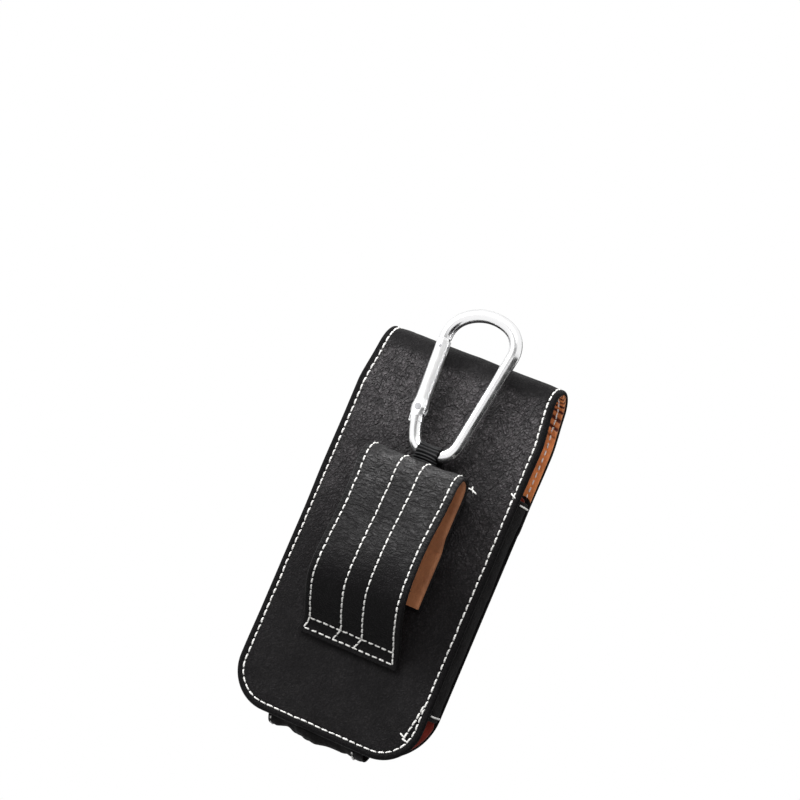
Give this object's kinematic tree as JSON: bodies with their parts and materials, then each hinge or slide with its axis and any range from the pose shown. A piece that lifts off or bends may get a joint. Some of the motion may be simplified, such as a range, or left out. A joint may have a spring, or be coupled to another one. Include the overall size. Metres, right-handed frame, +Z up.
{
  "type": "phone belt holster",
  "caption": "Leather phone belt holster: open-cornered pouch, fold-over magnetic flap, wide belt loop and a carabiner in a ribbed webbing loop.",
  "frame": {"origin": "middle of the belt slot, centred across the pouch", "axes": "+Z up as worn, +X along the belt to the right as the back of the pouch is looked at, -Y towards the wearer's belt, so the flap and front panel face +Y"},
  "size_m": [0.0876, 0.0424, 0.1909],
  "materials": {
    "black_leather": "pebbled, half matte",
    "gusset_leather": "smooth, half matte",
    "tan_lining": "soft, creased",
    "red_lining": "soft, matte",
    "board": "plain",
    "webbing": "ribbed",
    "polished_rod": "polished",
    "pins": "plain",
    "magnet": "nickel plated"
  },
  "bodies": {
    "holster": {"back_leather": "black_leather", "back_board": "board", "back_lining": "tan_lining", "front_leather": "black_leather", "front_board": "board", "front_lining": "red_lining", "front_magnet": "magnet", "gusset_left": "gusset_leather", "gusset_right": "gusset_leather", "gusset_bottom": "gusset_leather", "loop_leather": "black_leather", "loop_lining": "tan_lining", "webbing_loop": "webbing"},
    "flap": {"flap_leather": "black_leather", "flap_lining": "tan_lining", "flap_magnet": "magnet"},
    "carabiner": {"carabiner_frame": "polished_rod"},
    "gate": {"gate_tube": "polished_rod", "gate_rivet": "pins", "latch_pin": "pins", "gate_spring": "pins", "gate_plunger": "pins"}
  },
  "joints": [
    {"name": "flap_fold", "type": "hinge", "parent": "holster", "child": "flap", "pos_m": [0, 0.0164, 0.08629], "axis": [1, 0, 0], "range_deg": [0, 130]},
    {"name": "carabiner_swing", "type": "hinge", "parent": "holster", "child": "carabiner", "pos_m": [0.0013, 0.00605, 0.0415], "axis": [1, 0, 0], "range_deg": [0, 100]},
    {"name": "gate_pivot", "type": "hinge", "parent": "carabiner", "child": "gate", "pos_m": [-0.01066, 0.00605, 0.05815], "axis": [0, 1, 0], "range_deg": [0, 26], "stiffness_Nm_per_rad": 0.05, "springref_deg": -22.92}
  ]
}
